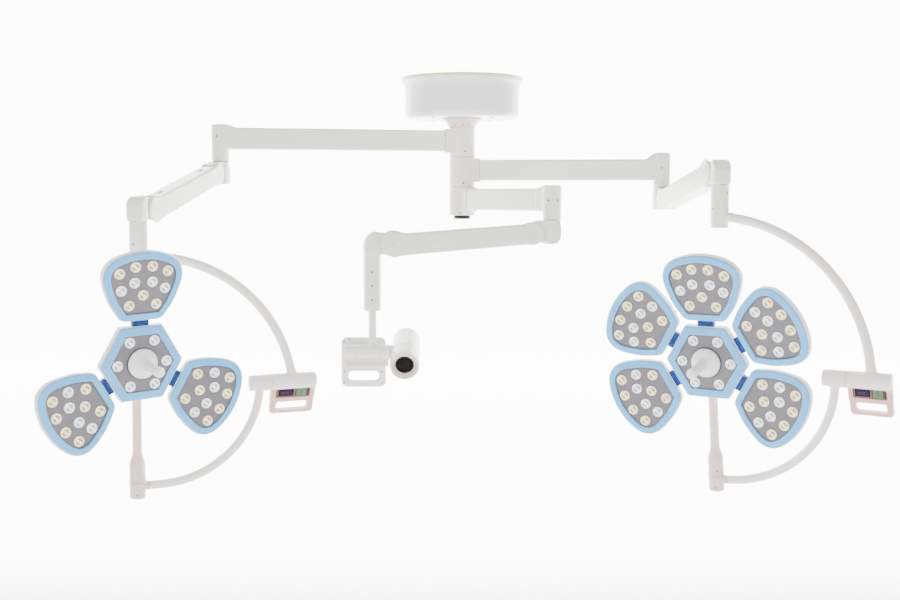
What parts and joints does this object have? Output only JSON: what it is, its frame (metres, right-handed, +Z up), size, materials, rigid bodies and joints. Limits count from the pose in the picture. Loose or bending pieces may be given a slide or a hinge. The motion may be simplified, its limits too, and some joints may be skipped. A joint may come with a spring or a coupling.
{
  "type": "surgical light",
  "caption": "Ceiling-hung surgical light: stacked swing arms with spring arms carry petal lamp heads on curved bows with control panels and sterile handles, plus a camera arm.",
  "frame": {"origin": "centre of the ceiling bolt circle, on the ceiling plane and on the axis of the centre spindle", "axes": "+Z up towards the ceiling, +X to the right and +Y away from a viewer who faces the light; the arms hang below, in -Z"},
  "size_m": [2.5813, 1.2482, 1.4039],
  "materials": {
    "white_paint": "satin",
    "bow_paint": "satin",
    "steel": "satin",
    "canopy_white": "satin",
    "panel_white": "satin",
    "panel_face": "satin",
    "shell_white": "satin",
    "bezel_blue": "satin",
    "grey_panel": "satin",
    "petal_white": "satin",
    "bellows_blue": "matte",
    "handle_white": "satin",
    "cap_black": "satin",
    "camera_white": "satin",
    "lens_black": "gloss"
  },
  "bodies": {
    "root": {"ceiling_plate": "steel", "canopy_cover": "canopy_white", "canopy_screws": "steel", "mount_cone": "white_paint", "center_spindle": "bow_paint", "spindle_end_cap": "cap_black"},
    "left_arm": {"left_arm_hub": "white_paint", "left_extension_arm": "white_paint"},
    "left_knuckle": {"left_knuckle": "white_paint"},
    "left_spring_arm": {"left_spring_arm": "white_paint", "left_balance_spring": "steel"},
    "left_tip": {"left_arm_tip": "white_paint"},
    "left_bow": {"left_drop_tube": "bow_paint", "left_outer_bow": "bow_paint", "left_panel_housing": "panel_white", "left_panel_face": "panel_face"},
    "left_inner_bow": {"left_inner_bow": "bow_paint"},
    "left_head": {"left_head_post": "bow_paint", "left_hub_shell": "shell_white", "left_hub_bezel": "bezel_blue", "left_hub_light_panel": "grey_panel", "left_bellows": "bellows_blue"},
    "left_handle": {"left_handle": "handle_white"},
    "left_petal_top": {"left_petal_top": "petal_white"},
    "left_petal_right": {"left_petal_right": "petal_white"},
    "left_petal_left": {"left_petal_left": "petal_white"},
    "right_arm": {"right_arm_hub": "white_paint", "right_extension_arm": "white_paint"},
    "right_knuckle": {"right_knuckle": "white_paint"},
    "right_spring_arm": {"right_spring_arm": "white_paint", "right_balance_spring": "steel"},
    "right_tip": {"right_arm_tip": "white_paint"},
    "right_bow": {"right_drop_tube": "bow_paint", "right_outer_bow": "bow_paint", "right_panel_housing": "panel_white", "right_panel_face": "panel_face"},
    "right_inner_bow": {"right_inner_bow": "bow_paint"},
    "right_head": {"right_head_post": "bow_paint", "right_hub_shell": "shell_white", "right_hub_bezel": "bezel_blue", "right_hub_light_panel": "grey_panel", "right_bellows": "bellows_blue"},
    "right_handle": {"right_handle": "handle_white"},
    "right_petal_top": {"right_petal_top": "petal_white"},
    "right_petal_upper_right": {"right_petal_upper_right": "petal_white"},
    "right_petal_upper_left": {"right_petal_upper_left": "petal_white"},
    "right_petal_lower_right": {"right_petal_lower_right": "petal_white"},
    "right_petal_lower_left": {"right_petal_lower_left": "petal_white"},
    "camera_arm": {"camera_arm_hub": "white_paint", "camera_extension_arm": "white_paint"},
    "camera_knuckle": {"camera_knuckle": "white_paint"},
    "camera_spring_arm": {"camera_spring_arm": "white_paint", "camera_balance_spring": "steel"},
    "camera_tip": {"camera_arm_tip": "white_paint"},
    "camera_stem": {"camera_swivel_tube": "bow_paint", "camera_bracket": "camera_white", "camera_handle_plate": "camera_white"},
    "camera_head": {"camera_body": "camera_white", "camera_lens": "lens_black", "camera_knob": "camera_white"}
  },
  "joints": [
    {"name": "left_arm_yaw", "type": "hinge", "parent": "root", "child": "left_arm", "pos_m": [0, 0, -0.2315], "axis": [0, 0, 1], "range_deg": [-160, 60]},
    {"name": "left_knuckle_yaw", "type": "hinge", "parent": "left_arm", "child": "left_knuckle", "pos_m": [-0.86534, -0.18551, -0.3125], "axis": [0, 0, 1], "range_deg": [-150, 45]},
    {"name": "left_spring_tilt", "type": "hinge", "parent": "left_knuckle", "child": "left_spring_arm", "pos_m": [-0.88271, -0.25126, -0.3595], "axis": [-0.9668, 0.2554, 0], "range_deg": [-30, 34]},
    {"name": "left_tip_level", "type": "hinge", "parent": "left_spring_arm", "child": "left_tip", "pos_m": [-0.99765, -0.68631, -0.47671], "axis": [-0.9668, 0.2554, 0], "range_deg": [-34, 30]},
    {"name": "left_bow_yaw", "type": "hinge", "parent": "left_tip", "child": "left_bow", "pos_m": [-1.01503, -0.75206, -0.51531], "axis": [0, 0, 1], "range_deg": [-165, 165]},
    {"name": "left_bow_swing", "type": "hinge", "parent": "left_bow", "child": "left_inner_bow", "pos_m": [-0.63086, -0.60459, -1.043], "axis": [0.9336, 0.3584, 0], "range_deg": [-4, 95]},
    {"name": "left_head_spin", "type": "hinge", "parent": "left_inner_bow", "child": "left_head", "pos_m": [-1.04184, -0.72685, -1.34318], "axis": [0.0393, -0.1024, 0.994], "range_deg": [-100, 12]},
    {"name": "left_petal_top_tilt", "type": "hinge", "parent": "left_head", "child": "left_petal_top", "pos_m": [-1.0034, -0.80323, -0.82629], "axis": [0.7886, 0.614, 0.0321], "range_deg": [-4, 4]},
    {"name": "left_petal_right_tilt", "type": "hinge", "parent": "left_head", "child": "left_petal_right", "pos_m": [-0.92471, -0.7168, -1.0108], "axis": [-0.4284, -0.2183, -0.8768], "range_deg": [-4, 4]},
    {"name": "left_petal_left_tilt", "type": "hinge", "parent": "left_head", "child": "left_petal_left", "pos_m": [-1.09696, -0.85091, -1.0178], "axis": [-0.3603, -0.3957, 0.8448], "range_deg": [-4, 4]},
    {"name": "left_handle_turn", "type": "hinge", "parent": "left_head", "child": "left_handle", "pos_m": [-0.99616, -0.80587, -0.95372], "axis": [0.6136, -0.7826, -0.1049], "range_deg": [-40, 40]},
    {"name": "right_arm_yaw", "type": "hinge", "parent": "root", "child": "right_arm", "pos_m": [0, 0, -0.34], "axis": [0, 0, 1], "range_deg": [-60, 160]},
    {"name": "right_knuckle_yaw", "type": "hinge", "parent": "right_arm", "child": "right_knuckle", "pos_m": [0.73155, -0.08076, -0.403], "axis": [0, 0, 1], "range_deg": [-40, 150]},
    {"name": "right_spring_tilt", "type": "hinge", "parent": "right_knuckle", "child": "right_spring_arm", "pos_m": [0.74078, -0.14813, -0.45], "axis": [-0.9907, -0.1357, 0], "range_deg": [-56, 9]},
    {"name": "right_tip_level", "type": "hinge", "parent": "right_spring_arm", "child": "right_tip", "pos_m": [0.80273, -0.60037, -0.36127], "axis": [-0.9907, -0.1357, 0], "range_deg": [-9, 56]},
    {"name": "right_bow_yaw", "type": "hinge", "parent": "right_tip", "child": "right_bow", "pos_m": [0.81196, -0.66774, -0.39987], "axis": [0, 0, 1], "range_deg": [-165, 165]},
    {"name": "right_bow_swing", "type": "hinge", "parent": "right_bow", "child": "right_inner_bow", "pos_m": [1.15707, -0.89186, -0.989], "axis": [0.8387, -0.5446, 0], "range_deg": [-60, 95]},
    {"name": "right_head_spin", "type": "hinge", "parent": "right_inner_bow", "child": "right_head", "pos_m": [0.83117, -0.60878, -1.34702], "axis": [-0.0899, -0.1384, 0.9863], "range_deg": [-165, 165]},
    {"name": "right_petal_top_tilt", "type": "hinge", "parent": "right_head", "child": "right_petal_top", "pos_m": [0.76869, -0.705, -0.83788], "axis": [0.8387, -0.5446, 0], "range_deg": [-4, 4]},
    {"name": "right_petal_upper_right_tilt", "type": "hinge", "parent": "right_head", "child": "right_petal_upper_right", "pos_m": [0.86594, -0.75575, -0.90006], "axis": [0.4972, -0.1524, -0.8541], "range_deg": [-4, 4]},
    {"name": "right_petal_upper_left_tilt", "type": "hinge", "parent": "right_head", "child": "right_petal_upper_left", "pos_m": [0.68277, -0.63679, -0.90006], "axis": [0.3415, -0.3922, 0.8541], "range_deg": [-4, 4]},
    {"name": "right_petal_lower_right_tilt", "type": "hinge", "parent": "right_head", "child": "right_petal_lower_right", "pos_m": [0.87728, -0.7383, -1.02443], "axis": [-0.3415, 0.3922, -0.8541], "range_deg": [-4, 4]},
    {"name": "right_petal_lower_left_tilt", "type": "hinge", "parent": "right_head", "child": "right_petal_lower_left", "pos_m": [0.6941, -0.61934, -1.02443], "axis": [-0.4972, 0.1524, 0.8541], "range_deg": [-4, 4]},
    {"name": "right_handle_turn", "type": "hinge", "parent": "right_head", "child": "right_handle", "pos_m": [0.76934, -0.70399, -0.96553], "axis": [-0.5372, -0.8272, -0.165], "range_deg": [-40, 40]},
    {"name": "camera_arm_yaw", "type": "hinge", "parent": "root", "child": "camera_arm", "pos_m": [0, 0, -0.4485], "axis": [0, 0, 1], "range_deg": [-60, 120]},
    {"name": "camera_knuckle_yaw", "type": "hinge", "parent": "camera_arm", "child": "camera_knuckle", "pos_m": [0.29509, -0.48533, -0.5145], "axis": [0, 0, 1], "range_deg": [-120, 110]},
    {"name": "camera_spring_tilt", "type": "hinge", "parent": "camera_knuckle", "child": "camera_spring_arm", "pos_m": [0.2275, -0.49279, -0.5615], "axis": [-0.1097, 0.994, 0], "range_deg": [-41, 24]},
    {"name": "camera_tip_level", "type": "hinge", "parent": "camera_spring_arm", "child": "camera_tip", "pos_m": [-0.23368, -0.54371, -0.59232], "axis": [-0.1097, 0.994, 0], "range_deg": [-24, 41]},
    {"name": "camera_swivel", "type": "hinge", "parent": "camera_tip", "child": "camera_stem", "pos_m": [-0.30127, -0.55117, -0.814], "axis": [0, 0, 1], "range_deg": [-165, 165]},
    {"name": "camera_pitch", "type": "hinge", "parent": "camera_stem", "child": "camera_head", "pos_m": [-0.26127, -0.55117, -0.951], "axis": [1, 0, 0], "range_deg": [-50, 70]}
  ],
  "couplings": [
    {"joint": "left_tip_level", "follows": "left_spring_tilt", "ratio": -1},
    {"joint": "left_petal_right_tilt", "follows": "left_petal_top_tilt", "ratio": 1},
    {"joint": "left_petal_left_tilt", "follows": "left_petal_top_tilt", "ratio": 1},
    {"joint": "left_handle_turn", "follows": "left_petal_top_tilt", "ratio": 10},
    {"joint": "right_tip_level", "follows": "right_spring_tilt", "ratio": -1},
    {"joint": "right_petal_upper_right_tilt", "follows": "right_petal_top_tilt", "ratio": 1},
    {"joint": "right_petal_upper_left_tilt", "follows": "right_petal_top_tilt", "ratio": 1},
    {"joint": "right_petal_lower_right_tilt", "follows": "right_petal_top_tilt", "ratio": 1},
    {"joint": "right_petal_lower_left_tilt", "follows": "right_petal_top_tilt", "ratio": 1},
    {"joint": "right_handle_turn", "follows": "right_petal_top_tilt", "ratio": 10},
    {"joint": "camera_tip_level", "follows": "camera_spring_tilt", "ratio": -1}
  ]
}
